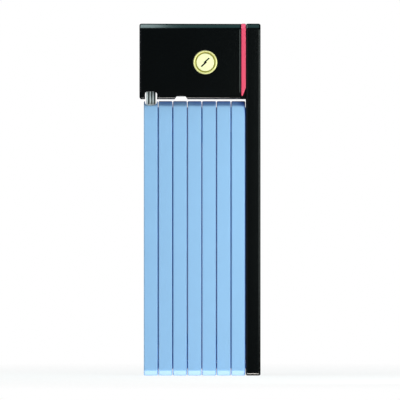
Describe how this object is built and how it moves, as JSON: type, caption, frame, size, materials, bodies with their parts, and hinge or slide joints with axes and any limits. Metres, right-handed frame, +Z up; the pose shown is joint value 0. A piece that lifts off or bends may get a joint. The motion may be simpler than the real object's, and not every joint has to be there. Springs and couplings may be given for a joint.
{
  "type": "folding bike lock",
  "caption": "Folding bike lock: a stack of plastic-covered steel bars on rivets, folded beside a fixed end bar under a keyed lock body with a sliding bolt.",
  "frame": {"origin": "middle of the bottom of the folded lock", "axes": "+X from the tongue to the end bar, +Y to the rear, away from the key, +Z up to the lock body"},
  "size_m": [0.0644, 0.034, 0.1872],
  "materials": {
    "black_plastic": "satin",
    "link_plastic": "satin",
    "accent_plastic": "satin",
    "brass": "satin",
    "hardened_steel": "brushed"
  },
  "bodies": {
    "lock_body": {"front_cover": "black_plastic", "rear_cover": "black_plastic", "cover_screws": "hardened_steel", "lock_case": "hardened_steel", "case_back_plate": "hardened_steel", "accent_plate": "accent_plastic", "end_bar": "hardened_steel", "end_bar_cover": "black_plastic", "end_bar_pins": "hardened_steel", "cylinder_shell": "brass", "cylinder_set_screw": "hardened_steel", "pivot_rivet_1": "hardened_steel", "pivot_washer_1": "hardened_steel"},
    "plug": {"cylinder_plug": "brass", "detainer_discs": "hardened_steel", "sidebar": "hardened_steel", "plug_circlip": "hardened_steel", "drive_cam": "hardened_steel"},
    "bolt": {"locking_bolt": "hardened_steel"},
    "link_1": {"link_1_bar": "hardened_steel", "link_1_sleeve": "link_plastic", "pivot_rivet_2": "hardened_steel", "pivot_washer_2": "hardened_steel"},
    "link_2": {"link_2_bar": "hardened_steel", "link_2_sleeve": "link_plastic", "pivot_rivet_3": "hardened_steel", "pivot_washer_3": "hardened_steel"},
    "link_3": {"link_3_bar": "hardened_steel", "link_3_sleeve": "link_plastic", "pivot_rivet_4": "hardened_steel", "pivot_washer_4": "hardened_steel"},
    "link_4": {"link_4_bar": "hardened_steel", "link_4_sleeve": "link_plastic", "pivot_rivet_5": "hardened_steel", "pivot_washer_5": "hardened_steel"},
    "link_5": {"link_5_bar": "hardened_steel", "link_5_sleeve": "link_plastic", "pivot_rivet_6": "hardened_steel", "pivot_washer_6": "hardened_steel"},
    "link_6": {"link_6_bar": "hardened_steel", "link_6_sleeve": "link_plastic", "pivot_rivet_7": "hardened_steel", "pivot_washer_7": "hardened_steel"},
    "link_7": {"link_7_bar": "hardened_steel", "link_7_sleeve": "link_plastic"}
  },
  "joints": [
    {"name": "plug_turn", "type": "hinge", "parent": "lock_body", "child": "plug", "pos_m": [0.0028, 0, 0.1666], "axis": [0, 1, 0], "range_deg": [0, 90]},
    {"name": "bolt_slide", "type": "slide", "parent": "lock_body", "child": "bolt", "axis": [-1, 0, 0], "range_m": [0, 0.006]},
    {"name": "pivot_1", "type": "hinge", "parent": "lock_body", "child": "link_1", "pos_m": [0.02423, 0, 0.013], "axis": [-1, 0, 0], "range_deg": [0, 175]},
    {"name": "pivot_2", "type": "hinge", "parent": "link_1", "child": "link_2", "pos_m": [0.01648, 0, 0.133], "axis": [-1, 0, 0], "range_deg": [0, 92]},
    {"name": "pivot_3", "type": "hinge", "parent": "link_2", "child": "link_3", "pos_m": [0.00873, 0, 0.013], "axis": [-1, 0, 0], "range_deg": [0, 175]},
    {"name": "pivot_4", "type": "hinge", "parent": "link_3", "child": "link_4", "pos_m": [0.00097, 0, 0.133], "axis": [-1, 0, 0], "range_deg": [0, 92]},
    {"name": "pivot_5", "type": "hinge", "parent": "link_4", "child": "link_5", "pos_m": [-0.00677, 0, 0.013], "axis": [-1, 0, 0], "range_deg": [0, 175]},
    {"name": "pivot_6", "type": "hinge", "parent": "link_5", "child": "link_6", "pos_m": [-0.01452, 0, 0.133], "axis": [-1, 0, 0], "range_deg": [0, 92]},
    {"name": "pivot_7", "type": "hinge", "parent": "link_6", "child": "link_7", "pos_m": [-0.02227, 0, 0.013], "axis": [-1, 0, 0], "range_deg": [0, 175]}
  ],
  "couplings": [
    {"joint": "plug_turn", "follows": "bolt_slide", "rad_per_m": 261.79}
  ]
}
